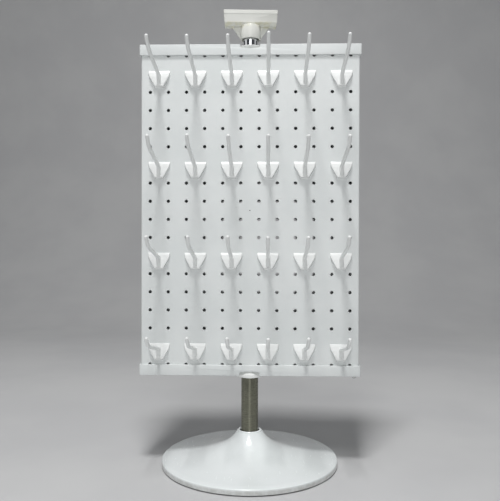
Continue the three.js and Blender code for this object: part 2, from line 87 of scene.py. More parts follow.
def smooth(obj, angle=SMOOTH_ANGLE):
    obj.data.shade_smooth()
    obj.data.set_sharp_from_angle(angle=angle)
    return obj


def mesh_object(name, points, faces):
    mesh = bpy.data.meshes.new(name)
    mesh.from_pydata([tuple(p) for p in points], [], faces)
    mesh.validate()
    mesh.update()
    return add_object(name, mesh)


def outward(obj):
    """Makes the faces of a closed mesh point out."""
    edit = bmesh.new()
    edit.from_mesh(obj.data)
    bmesh.ops.recalc_face_normals(edit, faces=edit.faces)
    edit.to_mesh(obj.data)
    edit.free()
    return obj


def fillet(outline, radius, steps=4, closed=True):
    """Rounds the corners of a 2D outline. Short sides get a smaller radius."""
    count = len(outline)
    rounded = []
    for i, corner in enumerate(outline):
        if not closed and i in (0, count - 1):
            rounded.append(corner)
            continue
        here = Vector(corner)
        before = Vector(outline[i - 1]) - here
        after = Vector(outline[(i + 1) % count]) - here
        turn = before.angle(after)
        if turn > math.radians(168):
            rounded.append(corner)
            continue
        reach = min(radius / math.tan(turn / 2), before.length * 0.45, after.length * 0.45)
        start = here + before.normalized() * reach
        end = here + after.normalized() * reach
        for k in range(steps + 1):
            t = k / steps
            point = start * (1 - t) ** 2 + here * 2 * t * (1 - t) + end * t ** 2
            rounded.append(tuple(point))
    return rounded


def turned(name, profile, sides=ROUND_SIDES):
    """A turned piece about Z. The profile is (radius, z) pairs, closed or from axis to axis."""
    on_axis = profile[0][0] < 1e-9 and profile[-1][0] < 1e-9
    points, rings = [], []
    for r, z in profile:
        if r < 1e-9:
            rings.append([len(points)] * sides)
            points.append((0, 0, z))
            continue
        rings.append(list(range(len(points), len(points) + sides)))
        for k in range(sides):
            angle = TAU * k / sides
            points.append((r * math.cos(angle), r * math.sin(angle), z))
    pairs = list(zip(rings, rings[1:]))
    if not on_axis:
        pairs.append((rings[-1], rings[0]))
    faces = []
    for low, high in pairs:
        for k in range(sides):
            n = (k + 1) % sides
            face = [low[k], low[n], high[n], high[k]]
            face = [v for i, v in enumerate(face) if v != face[i - 1]]
            if len(face) > 2:
                faces.append(face)
    return smooth(outward(mesh_object(name, points, faces)))


def hull(name, points):
    """The convex solid round some points."""
    edit = bmesh.new()
    for p in points:
        edit.verts.new(p)
    found = bmesh.ops.convex_hull(edit, input=edit.verts)
    loose = [g for g in found["geom_interior"] + found["geom_unused"]
             if isinstance(g, bmesh.types.BMVert)]
    bmesh.ops.delete(edit, geom=loose, context="VERTS")
    flat = math.radians(1)
    bmesh.ops.dissolve_limit(edit, angle_limit=flat, verts=edit.verts, edges=edit.edges)
    mesh = bpy.data.meshes.new(name)
    edit.to_mesh(mesh)
    edit.free()
    return outward(add_object(name, mesh))


def block(name, low, high):
    return hull(name, [(x, y, z) for x in (low[0], high[0])
                       for y in (low[1], high[1]) for z in (low[2], high[2])])


def rounded_rectangle(half_x, half_y, radius, steps=6):
    outline = []
    centres = [(1, 1, 0), (-1, 1, 1), (-1, -1, 2), (1, -1, 3)]
    for sx, sy, quarter in centres:
        for k in range(steps + 1):
            angle = (quarter + k / steps) * math.pi / 2
            outline.append((sx * (half_x - radius) + radius * math.cos(angle),
                            sy * (half_y - radius) + radius * math.sin(angle)))
    return outline


def rounded_block(name, half_x, half_y, low_z, high_z, corner_r, edge_r, steps=4):
    """A block with round upright corners and rounded upper and lower edges."""
    levels = []
    for k in range(steps + 1):
        angle = k / steps * math.pi / 2
        levels.append((edge_r * (1 - math.sin(angle)), low_z + edge_r * (1 - math.cos(angle))))
    levels += [(inset, high_z + low_z - z) for inset, z in reversed(levels)]
    points, loops = [], []
    for inset, z in levels:
        outline = rounded_rectangle(half_x - inset, half_y - inset, corner_r - inset)
        loops.append(list(range(len(points), len(points) + len(outline))))
        points += [(x, y, z) for x, y in outline]
    faces = [list(reversed(loops[0])), loops[-1]]
    for low, high in zip(loops, loops[1:]):
        for k in range(len(low)):
            n = (k + 1) % len(low)
            faces.append([low[k], low[n], high[n], high[k]])
    return outward(mesh_object(name, points, faces))


def take_modifiers(obj):
    """Applies the modifiers on an object."""
    depsgraph = bpy.context.evaluated_depsgraph_get()
    mesh = bpy.data.meshes.new_from_object(obj.evaluated_get(depsgraph))
    obj.modifiers.clear()
    old = obj.data
    obj.data = mesh
    bpy.data.meshes.remove(old)
    return obj


def combine(obj, others, operation):
    """Joins the other objects to obj, or cuts them from it, and removes them."""
    for other in others:
        modifier = obj.modifiers.new(operation, "BOOLEAN")
        modifier.operation = operation
        modifier.solver = "EXACT"
        modifier.object = other
        take_modifiers(obj)
        bpy.data.objects.remove(other)
    return obj


def soften_edges(obj, width, angle=40, segments=3):
    """Rounds the edges sharper than angle."""
    modifier = obj.modifiers.new("soften", "BEVEL")
    modifier.width = width
    modifier.segments = segments
    modifier.limit_method = "ANGLE"
    modifier.angle_limit = math.radians(angle)
    modifier.use_clamp_overlap = True
    return smooth(take_modifiers(obj))


def keep_faces_flat(obj, angle):
    """Smooth shading that follows the biggest faces, so that flat ones next to bends stay flat."""
    smooth(obj, angle)
    modifier = obj.modifiers.new("flat_faces", "WEIGHTED_NORMAL")
    modifier.mode = "FACE_AREA"
    modifier.weight = 100
    modifier.keep_sharp = True
    return take_modifiers(obj)


def finish_piece(obj, node, body, material):
    """Puts a finished mesh in the place of its CAD node."""
    obj.data.materials.clear()
    obj.data.materials.append(material)
    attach(obj, body)
    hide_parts(node)


# ------------------------------------------------------------------ material helpers

class Shading:
    """One procedural material: a Principled shader and the nodes that feed it."""

    def __init__(self, name, roughness=0.4, metallic=0.0, coat=0.0, coat_roughness=0.1,
                 specular=0.5, anisotropic=0.0):
        self.material = bpy.data.materials.new(name)
        self.material.use_nodes = True
        self.tree = self.material.node_tree
        self.shader = self.tree.nodes["Principled BSDF"]
        self.shader.inputs["Roughness"].default_value = roughness
        self.shader.inputs["Metallic"].default_value = metallic
        self.shader.inputs["Coat Weight"].default_value = coat
        self.shader.inputs["Coat Roughness"].default_value = coat_roughness
        self.shader.inputs["Specular IOR Level"].default_value = specular
        self.shader.inputs["Anisotropic"].default_value = anisotropic
        self.place = self.add("ShaderNodeTexCoord").outputs["Object"]

    def add(self, kind, **settings):
        node = self.tree.nodes.new(kind)
        for key, value in settings.items():
            setattr(node, key, value)
        return node

    def feed(self, socket, value):
        if isinstance(value, bpy.types.NodeSocket):
            self.tree.links.new(value, socket)
        else:
            socket.default_value = value

    def math(self, operation, first, second=0.0, clamp=False):
        node = self.add("ShaderNodeMath", operation=operation, use_clamp=clamp)
        self.feed(node.inputs[0], first)
        self.feed(node.inputs[1], second)
        return node.outputs[0]

    def stretch(self, scale, place=None):
        node = self.add("ShaderNodeMapping")
        self.feed(node.inputs["Vector"], place or self.place)
        node.inputs["Scale"].default_value = scale
        return node.outputs[0]

    def noise(self, scale, detail=3.0, roughness=0.55, place=None):
        node = self.add("ShaderNodeTexNoise")
        self.feed(node.inputs["Vector"], place or self.place)
        node.inputs["Scale"].default_value = scale
        node.inputs["Detail"].default_value = detail
        node.inputs["Roughness"].default_value = roughness
        return node.outputs["Fac"]

    def spread(self, value, from_low, from_high, to_low=0.0, to_high=1.0):
        """Maps a range to another, clamped, with soft ends."""
        node = self.add("ShaderNodeMapRange", interpolation_type="SMOOTHSTEP")
        self.feed(node.inputs["Value"], value)
        node.inputs["From Min"].default_value = from_low
        node.inputs["From Max"].default_value = from_high
        node.inputs["To Min"].default_value = to_low
        node.inputs["To Max"].default_value = to_high
        return node.outputs["Result"]

    def mix(self, amount, first, second):
        node = self.add("ShaderNodeMix", data_type="RGBA")
        self.feed(node.inputs["Factor"], amount)
        self.feed(node.inputs["A"], first if isinstance(first, bpy.types.NodeSocket) else (*first, 1))
        self.feed(node.inputs["B"], second if isinstance(second, bpy.types.NodeSocket) else (*second, 1))
        return node.outputs["Result"]

    def axis(self, letter, place=None):
        node = self.add("ShaderNodeSeparateXYZ")
        self.feed(node.inputs[0], place or self.place)
        return node.outputs[letter]

    def colour(self, value):
        self.feed(self.shader.inputs["Base Color"], value)

    def roughness(self, value):
        self.feed(self.shader.inputs["Roughness"], value)

    def bump(self, *layers):
        """Each layer is (height, distance in metres)."""
        normal = None
        for height, distance in layers:
            node = self.add("ShaderNodeBump")
            node.inputs["Strength"].default_value = 1
            node.inputs["Distance"].default_value = distance
            self.feed(node.inputs["Height"], height)
            if normal is not None:
                self.feed(node.inputs["Normal"], normal)
            normal = node.outputs["Normal"]
        self.feed(self.shader.inputs["Normal"], normal)


def scattered(shading, amount=1.0):
    """Object coordinates moved by each object's own random number."""
    info = shading.add("ShaderNodeObjectInfo")
    shift = shading.add("ShaderNodeVectorMath", operation="ADD")
    shading.feed(shift.inputs[0], shading.place)
    shading.feed(shift.inputs[1], shading.math("MULTIPLY", info.outputs["Random"], amount))
    return shift.outputs[0]


def moulded_white(name, clean, aged, roughness, grain=0.00002, own_place=False, holes=False,
                  painted_shade_below=None):
    """Moulded plastic: slow mottling, fine dust, faint scuffs, a light mould grain.

    holes adds rubbing round the peg holes, painted_shade_below a band of painted yellowish shade and
    reflection under that height.
    """
    s = Shading(name, roughness=roughness, specular=0.45)
    if own_place:
        s.place = scattered(s)
    mottle = s.spread(s.noise(14, 4), 0.35, 0.68)
    tone = s.mix(mottle, clean, aged)
    dust = s.spread(s.noise(700, 2, 0.7), 0.66, 0.76, 0, 0.35)
    tone = s.mix(dust, tone, [c * 0.82 for c in aged])
    scuff = s.spread(s.noise(1, 5, 0.7, s.stretch((260, 260, 30))), 0.6, 0.72)
    tone = s.mix(s.math("MULTIPLY", scuff, 0.18), tone, [c * 0.86 for c in aged])
    if holes:
        tone = s.mix(s.math("MULTIPLY", peg_marks(s), 0.3), tone, [c * 0.72 for c in aged])
    # Painted shade and reflection: a mottled yellowish band in the colour, up to the given height.
    if painted_shade_below:
        low = s.spread(s.axis("Z"), painted_shade_below - 3 * MM, painted_shade_below, 1, 0)
        low = s.math("MULTIPLY", low, s.spread(s.axis("Z"), painted_shade_below - 11 * MM, painted_shade_below - 6 * MM))
        painted_underside_shade = s.math("MULTIPLY", low, s.spread(s.noise(110, 4), 0.4, 0.62, 0.1, 0.75))
        tone = s.mix(painted_underside_shade, tone, (0.66, 0.64, 0.47))
    s.colour(tone)
    wear = s.math("ADD", s.math("MULTIPLY", scuff, 0.14), s.math("MULTIPLY", mottle, 0.06))
    s.roughness(s.math("ADD", wear, roughness - 0.04))
    s.bump((s.noise(9, 2), 0.0006), (s.noise(1500, 2), grain))
    return s.material


def peg_marks(s):
    """Grey rubbing round the peg holes, where hooks have been put in and out."""
    squares = []
    first_row = PANEL_LOW.z + PANEL_END
    for letter, offset in (("X", PITCH / 2), ("Z", first_row)):
        cell = s.math("DIVIDE", s.math("SUBTRACT", s.axis(letter), offset), PITCH)
        away = s.math("SUBTRACT", s.math("FRACT", s.math("ADD", cell, 0.5)), 0.5)
        squares.append(s.math("MULTIPLY", away, away))
    distance = s.math("SQRT", s.math("ADD", *squares))
    ring = s.spread(distance, HOLE_R / PITCH, 2.1 * HOLE_R / PITCH, 1, 0)
    return s.math("MULTIPLY", ring, s.spread(s.noise(55, 3), 0.42, 0.7))


def enamel_white():
    """Gloss enamel on the trumpet: orange peel, dust on the flat, painted shade at the skirt's foot."""
    s = Shading("base_enamel", roughness=0.24, coat=0.5, coat_roughness=0.14)
    height = s.axis("Z")
    clean, aged, skirt_shade_colour = (0.88, 0.915, 0.915), (0.84, 0.88, 0.875), (0.46, 0.46, 0.43)
    mottle = s.spread(s.noise(16, 4), 0.35, 0.68)
    tone = s.mix(mottle, clean, aged)
    dust = s.spread(s.noise(420, 3, 0.7), 0.62, 0.78, 0, 0.22)
    tone = s.mix(dust, tone, (0.6, 0.62, 0.61))
    # Painted shade: the colour darkens in mottled patches over the skirt's lowest few millimetres.
    foot = s.spread(height, SHELL_LOW.z + 3.5 * MM, SHELL_LOW.z + 7.5 * MM, 1, 0)
    foot = s.math("MULTIPLY", foot, s.spread(s.noise(120, 4), 0.3, 0.7, 0.35, 0.7))
    tone = s.mix(foot, tone, skirt_shade_colour)
    s.colour(tone)
    scratch = s.spread(s.noise(1, 4, 0.65, s.stretch((420, 60, 60))), 0.62, 0.72, 0, 0.16)
    s.roughness(s.math("ADD", scratch, s.math("ADD", s.math("MULTIPLY", mottle, 0.05), 0.2)))
    s.bump((s.noise(160, 2), 0.00002), (s.noise(14, 2), 0.0003))
    return s.material


def satin_steel():
    """Steel tube ground round its girth, so that it shines in a thin upright line, with marks."""
    s = Shading("tube_satin_steel", roughness=0.3, metallic=0.5, specular=0.3, anisotropic=0.85)
    s.shader.inputs["Anisotropic Rotation"].default_value = 0.25
    lines = s.noise(1, 5, 0.7, s.stretch((90, 90, 2600)))
    # Painted shade: both tones are much darker than bare steel, standing in for the dim light round the
    # tube.
    tone = s.mix(s.spread(lines, 0.3, 0.7), (0.16, 0.16, 0.123), (0.182, 0.181, 0.14))
    marks = s.spread(s.noise(42, 4), 0.5, 0.72, 0, 0.5)
    s.colour(s.mix(marks, tone, (0.13, 0.128, 0.1)))
    worn = s.math("ADD", s.math("MULTIPLY", marks, 0.12), 0.2)
    s.roughness(s.math("ADD", s.math("MULTIPLY", lines, 0.16), worn))
    s.bump((lines, 0.000003))
    return s.material


def bright_chrome():
    """Chrome plate with light smears."""
    s = Shading("pole_chrome", roughness=0.07, metallic=1.0)
    smear = s.spread(s.noise(1, 4, 0.6, s.stretch((90, 90, 22))), 0.45, 0.75)
    s.colour(s.mix(smear, (0.82, 0.83, 0.85), (0.66, 0.67, 0.68)))
    s.roughness(s.math("ADD", s.math("MULTIPLY", smear, 0.14), 0.05))
    s.bump((s.noise(60, 2), 0.00002))
    return s.material


def painted_casting():
    """Rough casting under thin black paint, with rust specks."""
    s = Shading("weight_iron", roughness=0.62, metallic=0.35)
    blotch = s.spread(s.noise(38, 5), 0.4, 0.66)
    tone = s.mix(blotch, (0.045, 0.045, 0.05), (0.1, 0.098, 0.095))
    rust = s.spread(s.noise(160, 5, 0.75), 0.63, 0.72)
    s.colour(s.mix(rust, tone, (0.2, 0.085, 0.035)))
    s.roughness(s.math("ADD", s.math("MULTIPLY", rust, 0.25), 0.55))
    s.bump((s.noise(700, 4, 0.7), 0.00025), (s.noise(90, 3), 0.0003))
    return s.material


def bright_zinc():
    """Zinc plate: bluish spangle and dull patches."""
    s = Shading("fastener_zinc", roughness=0.32, metallic=1.0)
    s.place = scattered(s, 0.3)
    patch = s.spread(s.noise(420, 3), 0.4, 0.62)
    s.colour(s.mix(patch, (0.66, 0.68, 0.7), (0.5, 0.5, 0.47)))
    s.roughness(s.math("ADD", s.math("MULTIPLY", patch, 0.2), 0.24))
    s.bump((s.noise(2200, 2), 0.00001))
    return s.material


def black_rubber():
    """Matt rubber with pale dust."""
    s = Shading("foot_rubber", roughness=0.85, specular=0.3)
    s.place = scattered(s, 0.5)
    dust = s.spread(s.noise(240, 4, 0.7), 0.5, 0.74)
    s.colour(s.mix(dust, (0.02, 0.02, 0.021), (0.13, 0.125, 0.115)))
    s.roughness(s.math("ADD", s.math("MULTIPLY", dust, 0.1), 0.8))
    s.bump((s.noise(1800, 3), 0.00004))
    return s.material


ENAMEL = enamel_white()
PANEL_PLASTIC = moulded_white("panel_plastic", (0.755, 0.78, 0.775), (0.72, 0.75, 0.745), 0.42, holes=True)
CAP_PLASTIC = moulded_white("cap_plastic", (0.76, 0.785, 0.78), (0.725, 0.755, 0.75), 0.36)
HOOK_PLASTIC = moulded_white("hook_plastic", (0.86, 0.875, 0.865), (0.82, 0.835, 0.825), 0.34,
                             own_place=True)
# The clip's colour carries painted yellowish shade and reflection under its trough.
CLIP_PLASTIC = moulded_white("clip_plastic", (0.77, 0.775, 0.735), (0.73, 0.735, 0.69), 0.33,
                             painted_shade_below=CLIP_HIGH.z - 15.1 * MM)
NYLON = moulded_white("bearing_nylon", (0.88, 0.89, 0.87), (0.84, 0.85, 0.83), 0.45, 0.00004)
TUBE_STEEL = satin_steel()
CHROME = bright_chrome()
CASTING = painted_casting()
ZINC = bright_zinc()
RUBBER = black_rubber()
# Near-black colour for the gate mark: painted shade standing in for the dimple there.
GATE_DIMPLE_SHADE = moulded_white("gate_mark", (0.06, 0.06, 0.058), (0.035, 0.035, 0.034), 0.5)


# ------------------------------------------------------------------ base

def base_shell():
    """Spun skin: skirt, rolled rim, hyperbolic flare, rolled neck."""
    rim_r, rim_edge, skin = SHELL_HIGH.x, 1.5 * MM, 1.5 * MM
    rim_top, neck_r, roll = 9 * MM, 16.9 * MM, 1.7 * MM
    scale, offset = 1279 * MM * MM, 10.6 * MM
    edge = 0.4 * MM
    profile = [(rim_r - skin, SHELL_LOW.z)]

    def flare(r):
        return scale / (r + offset)

    for k in range(5):
        angle = (k / 4 - 1) * math.pi / 2
        profile.append((rim_r - edge + edge * math.cos(angle), SHELL_LOW.z + edge + edge * math.sin(angle)))
    for k in range(9):
        angle = k / 8 * math.pi / 2
        profile.append((rim_r - rim_edge + rim_edge * math.cos(angle),
                        rim_top - rim_edge + rim_edge * math.sin(angle)))
    steps = 60
    outer_r, inner_r = rim_r - 6 * MM, neck_r + 0.6 * MM
    for k in range(steps + 1):
        r = outer_r * (inner_r / outer_r) ** (k / steps)
        profile.append((r, flare(r)))
    roll_r, roll_z = neck_r - roll, SHELL_HIGH.z - roll
    for k in range(13):
        angle = -0.25 + k / 12 * (math.pi + 0.25)
        profile.append((roll_r + roll * math.cos(angle), roll_z + roll * math.sin(angle)))
    for k in range(steps + 1):
        r = outer_r * (inner_r / outer_r) ** (1 - k / steps)
        profile.append((r - 0.7 * skin, flare(r) - skin))
    profile.append((rim_r - skin, rim_top - skin))
    return turned("base_shell_fine", profile, 180)


def base_weight():
    low, top, r = WEIGHT_LOW.z, 8 * MM, WEIGHT_HIGH.x
    boss_r, boss_top = 20 * MM, WEIGHT_HIGH.z
    socket_r, socket_floor = 12.15 * MM, TUBE_LOW.z
    recess_r, recess_top, bolt_r = 11.5 * MM, 12 * MM, 4.3 * MM
    outline = [
        (recess_r, low), (r, low), (r, top - 1.5 * MM), (r - 6 * MM, top), (boss_r + 2.5 * MM, top),
        (boss_r, boss_top - 4 * MM), (boss_r - 4 * MM, boss_top), (socket_r, boss_top),
        (socket_r, socket_floor), (bolt_r, socket_floor), (bolt_r, recess_top), (recess_r, recess_top),
    ]
    return turned("base_weight_fine", fillet(outline, 0.8 * MM), 128)


def foot(name, node):
    """Rubber pad with a rounded edge and three gripping grooves."""
    low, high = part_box(node)
    centre = (low + high) / 2
    r = (high.x - low.x) / 2
    outline = [(0, low.z), (1.6 * MM, low.z)]
    for groove in (2.0, 3.8, 5.6):
        outline += [(groove * MM, low.z), (groove * MM + 0.15 * MM, low.z + 0.5 * MM),
                    (groove * MM + 0.65 * MM, low.z + 0.5 * MM), (groove * MM + 0.8 * MM, low.z)]
    outline += [(r, low.z), (r, high.z), (0, high.z)]
    obj = turned(name, fillet(outline, 0.35 * MM, 3, closed=False), 48)
    obj.data.transform(Matrix.Translation((centre.x, centre.y, 0)))
    return obj


def base_bolt():
    """Hexagon head with a chamfered face, and a plain shank with a pointed end."""
    low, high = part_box("base_bolt")
    head_top = low.z + 5.3 * MM
    across = 13 * MM
    corner = across / 2 / math.cos(math.pi / 6)
    head = turned("base_bolt_fine", [(0, low.z), (corner, low.z), (corner, head_top), (0, head_top)], 6)
    face_z, over_z, wide = low.z - 1 * MM, head_top + 1 * MM, across / 2 + 6 * MM
    cone = turned("chamfer", [(0, face_z), (across / 2 - 1.2 * MM, face_z), (wide, low.z + 3.2 * MM),
                              (wide, over_z), (0, over_z)], 64)
    combine(head, [cone], "INTERSECT")
    shank = turned("shank", [(0, head_top - 1 * MM), (4 * MM, head_top - 1 * MM),
                             (4 * MM, high.z - 1 * MM), (3.2 * MM, high.z), (0, high.z)], 48)
    combine(head, [shank], "UNION")
    return soften_edges(head, 0.15 * MM, 30, 2)


def plain_ring(name, node, outer_r, inner_r, edge, sides=ROUND_SIDES):
    low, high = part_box(node)
    outline = [(inner_r, low.z), (outer_r, low.z), (outer_r, high.z), (inner_r, high.z)]
    return keep_faces_flat(turned(name, fillet(outline, edge), sides), SMOOTH_ANGLE)


def add_base():
    finish_piece(base_shell(), "base_shell", "base", ENAMEL)
    finish_piece(base_weight(), "base_weight", "base", CASTING)
    for side in ("front_left", "front_right", "back_left", "back_right"):
        obj = foot(f"foot_{side}_fine", f"foot_{side}")
        finish_piece(obj, f"foot_{side}", "base", RUBBER)
    finish_piece(base_bolt(), "base_bolt", "base", ZINC)
    washer = plain_ring("base_washer_fine", "base_washer", 9 * MM, 4.3 * MM, 0.3 * MM)
    finish_piece(washer, "base_washer", "base", ZINC)
    plug = plain_ring("pole_plug_fine", "pole_plug", 8.1 * MM, 4.3 * MM, 0.6 * MM)
    finish_piece(plug, "pole_plug", "base", ZINC)
    tube = plain_ring("lower_tube_fine", "lower_tube", TUBE_HIGH.x, 10.3 * MM, 0.4 * MM)
    finish_piece(tube, "lower_tube", "base", TUBE_STEEL)
    pole = plain_ring("centre_pole_fine", "centre_pole", POLE_HIGH.x, 8.5 * MM, 0.5 * MM)
    finish_piece(pole, "centre_pole", "base", CHROME)
    thrust = plain_ring("thrust_washer_fine", "thrust_washer", 14 * MM, 10.3 * MM, 0.25 * MM)
    finish_piece(thrust, "thrust_washer", "base", NYLON)


# ------------------------------------------------------------------ bearings and caps

SEAT_DEPTH = 6.1 * MM
SEAT_RIM_DEPTH = 4.5 * MM
BEARING_R = 19 * MM


def bearing(name, proud, length):
    """Domed disc with a sleeve, disc up, with the cap's outer face at z = 0."""
    bore, sleeve, shoulder = 10.15 * MM, 11.8 * MM, 15 * MM
    outline = [
        (bore, -length), (sleeve, -length), (sleeve, -SEAT_DEPTH), (shoulder, -SEAT_DEPTH),
        (BEARING_R - 2.6 * MM, -SEAT_DEPTH + 1.7 * MM), (BEARING_R - 0.8 * MM, -SEAT_DEPTH + 3.6 * MM),
        (BEARING_R, min(-0.9 * MM, proud - 0.9 * MM)), (BEARING_R, proud - 0.5 * MM),
        (BEARING_R - 0.5 * MM, proud), (bore + 2.6 * MM, proud), (bore + 2.1 * MM, proud - 0.5 * MM),
        (bore, proud - 0.5 * MM),
    ]
    return turned(name, fillet(outline, 0.9 * MM, 5))


def end_cap(name):
    """Tray over the ends of the pegboards, outer face up at z = 0."""
    half_x, half_y = CAP_HIGH.x, CAP_HIGH.y
    height = CAP_HIGH.z - CAP_LOW.z
    gap = 0.2 * MM
    web = height - PANEL_END
    body = rounded_block(name, half_x, half_y, -height, 0, 2.2 * MM, 0.7 * MM)
    cutters = [block("pocket", (PANEL_LOW.x - gap, -BOX_DEPTH / 2 - gap, -height - 1 * MM),
                     (PANEL_HIGH.x + gap, BOX_DEPTH / 2 + gap, -web))]
    inner = BOX_DEPTH / 2 - FACE_T - 0.5 * MM
    for side in (-1, 1):
        ends = sorted((side * 27 * MM, side * 138 * MM))
        cutters.append(block("recess", (ends[0], -inner, -web - 1 * MM), (ends[1], inner, -2.8 * MM)))
        screw_r, over = 1.7 * MM, 1 * MM
        screw = turned("screw_hole", [(0, -height), (screw_r, -height), (screw_r, over), (0, over)], 24)
        screw.data.transform(Matrix.Translation((-side * SCREW_X, -side * SCREW_Y, 0)))
        cutters.append(screw)
    cutters.append(turned("seat", [(0, -SEAT_DEPTH), (18.3 * MM, -SEAT_DEPTH), (23 * MM, -SEAT_RIM_DEPTH),
                                   (23 * MM, 1 * MM), (0, 1 * MM)]))
    cutters.append(turned("sleeve", [(0, -height), (12 * MM, -height), (12 * MM, 0), (0, 0)]))
    combine(body, cutters, "DIFFERENCE")
    return soften_edges(body, 0.3 * MM, 42, 2)


SCREW_LOW, SCREW_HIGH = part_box("cap_screw_top_back")
SCREW_X = (SCREW_LOW.x + SCREW_HIGH.x) / 2
SCREW_Y = (SCREW_LOW.y + SCREW_HIGH.y) / 2
SCREW_HEAD_R = (SCREW_HIGH.x - SCREW_LOW.x) / 2
TOP_FACE_Z = CAP_HIGH.z
BOTTOM_FACE_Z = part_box("bottom_cap")[0].z


def cap_screw(name):
    """Cheese-head screw with a cross recess, its head's underside at z = 0."""
    head_h = SCREW_HIGH.z - TOP_FACE_Z
    length = TOP_FACE_Z - SCREW_LOW.z
    outline = [(0, -length), (1.4 * MM, -length + 1.5 * MM), (1.4 * MM, 0), (SCREW_HEAD_R, 0),
               (SCREW_HEAD_R, head_h - 0.5 * MM), (SCREW_HEAD_R - 0.6 * MM, head_h), (0, head_h)]
    screw = turned(name, fillet(outline, 0.35 * MM, 4, closed=False), 48)
    arms = []
    recess_top = (1.6 * MM, 0.35 * MM, head_h + 0.2 * MM)
    recess_floor = (0.5 * MM, 0.2 * MM, head_h - 1.3 * MM)
    driven_turn = 0.4
    for quarter in range(2):
        arm = hull("arm", [(sx * x, sy * y, z) for x, y, z in (recess_top, recess_floor)
                           for sy in (1, -1) for sx in (1, -1)])
        arm.data.transform(Euler((0, 0, quarter * math.pi / 2 + driven_turn)).to_matrix().to_4x4())
        arms.append(arm)
    return smooth(combine(screw, arms, "DIFFERENCE"))


def place_at_cap(obj, at_top, x=0.0, y=0.0):
    """Moves a piece modelled with the cap's outer face at z = 0 to the top or bottom cap."""
    turn = Matrix.Identity(4) if at_top else Matrix.Rotation(math.pi, 4, "Y")
    height = TOP_FACE_Z if at_top else BOTTOM_FACE_Z
    obj.data.transform(Matrix.Translation((x, y, height)) @ turn)
    return obj


def add_ends():
    for at_top in (True, False):
        end = "top" if at_top else "bottom"
        low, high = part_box(f"{end}_bearing")
        proud = high.z - TOP_FACE_Z if at_top else BOTTOM_FACE_Z - low.z
        length = TOP_FACE_Z - low.z if at_top else high.z - BOTTOM_FACE_Z
        piece = place_at_cap(bearing(f"{end}_bearing_fine", proud, length), at_top)
        finish_piece(piece, f"{end}_bearing", "spinner", NYLON)
        piece = place_at_cap(end_cap(f"{end}_cap_fine"), at_top)
        finish_piece(piece, f"{end}_cap", "spinner", CAP_PLASTIC)
        for face in ("front", "back"):
            node = f"cap_screw_{end}_{face}"
            low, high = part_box(node)
            centre = (low + high) / 2
            piece = place_at_cap(cap_screw(f"{node}_fine"), at_top, centre.x, centre.y)
            finish_piece(piece, node, "spinner", ZINC)


# ------------------------------------------------------------------ pegboards

HOLE_SIDES = 24
EDGE_R = 2 * MM


def side_profile(side):
    """The return at one side edge, in X and Y, from the face's front round to its back."""
    half, front = PANEL_HIGH.x, PANEL_LOW.y
    seam = PANEL_HIGH.y
    profile = []
    for k in range(7):
        angle = k / 6 * math.pi / 2
        profile.append((half - EDGE_R + EDGE_R * math.sin(angle),
                        front + EDGE_R - EDGE_R * math.cos(angle)))
    profile += [(half, seam - 0.4 * MM), (half - 0.12 * MM, seam - 0.12 * MM), (half - 0.4 * MM, seam)]
    profile += [(half - SIDE_T, seam), (half - SIDE_T, front + FACE_T)]
    return [(side * x, y) for x, y in profile]


def pegboard(name):
    """One pegboard: a face with round holes, eased at both rims, and a return at each side."""
    front, back = PANEL_LOW.y, PANEL_LOW.y + FACE_T
    half = PANEL_HIGH.x
    columns = [(i - (COLUMNS - 1) / 2) * PITCH for i in range(COLUMNS)]
    rows = [PANEL_LOW.z + PANEL_END + j * PITCH for j in range(ROWS)]
    inner_x = [x + PITCH / 2 for x in columns[:-1]]
    z_lines = [PANEL_LOW.z] + [z + PITCH / 2 for z in rows[:-1]] + [PANEL_HIGH.z]
    front_x = [-half + EDGE_R] + inner_x + [half - EDGE_R]
    back_x = [-half + SIDE_T] + inner_x + [half - SIDE_T]
    points, faces = [], []

    def add(x, y, z):
        points.append((x, y, z))
        return len(points) - 1

    lattice = {}
    for at, xs, y in (("front", front_x, front), ("back", back_x, back)):
        lattice[at] = [[add(x, y, z) for z in z_lines] for x in xs]

    ease = 0.15 * MM
    rings_at = [(HOLE_R + ease, front), (HOLE_R + ease * 0.3, front + ease * 0.3), (HOLE_R, front + ease),
                (HOLE_R, back - ease), (HOLE_R + ease, back)]
    quarter = HOLE_SIDES // 4
    for i, x in enumerate(columns):
        for j, z in enumerate(rows):
            rings = []
            for r, y in rings_at:
                angles = [TAU * (k + 0.5 * quarter) / HOLE_SIDES for k in range(HOLE_SIDES)]
                rings.append([add(x + r * math.cos(a), y, z + r * math.sin(a)) for a in angles])
            for first, second in zip(rings, rings[1:]):
                for k in range(HOLE_SIDES):
                    n = (k + 1) % HOLE_SIDES
                    faces.append([first[k], first[n], second[n], second[k]])
            for at, ring in (("front", rings[0]), ("back", rings[-1])):
                grid = lattice[at]
                corners = [grid[i + 1][j + 1], grid[i][j + 1], grid[i][j], grid[i + 1][j]]
                for q in range(4):
                    arc = [ring[(q * quarter + k) % HOLE_SIDES] for k in range(quarter + 1)]
                    faces.append([corners[q], *arc, corners[(q + 1) % 4]])

    for side, edge in ((-1, 0), (1, -1)):
        strips = [lattice["front"][edge]]
        for x, y in side_profile(side)[1:-1]:
            strips.append([add(x, y, z) for z in z_lines])
        strips.append(lattice["back"][edge])
        for first, second in zip(strips, strips[1:]):
            for j in range(len(z_lines) - 1):
                faces.append([first[j], first[j + 1], second[j + 1], second[j]])
        for j in (0, -1):
            faces.append([strip[j] for strip in strips])
    for i in range(len(front_x) - 1):
        for j in (0, -1):
            front_line, back_line = lattice["front"], lattice["back"]
            faces.append([front_line[i][j], front_line[i + 1][j], back_line[i + 1][j], back_line[i][j]])
    return keep_faces_flat(outward(mesh_object(name, points, faces)), math.radians(20))


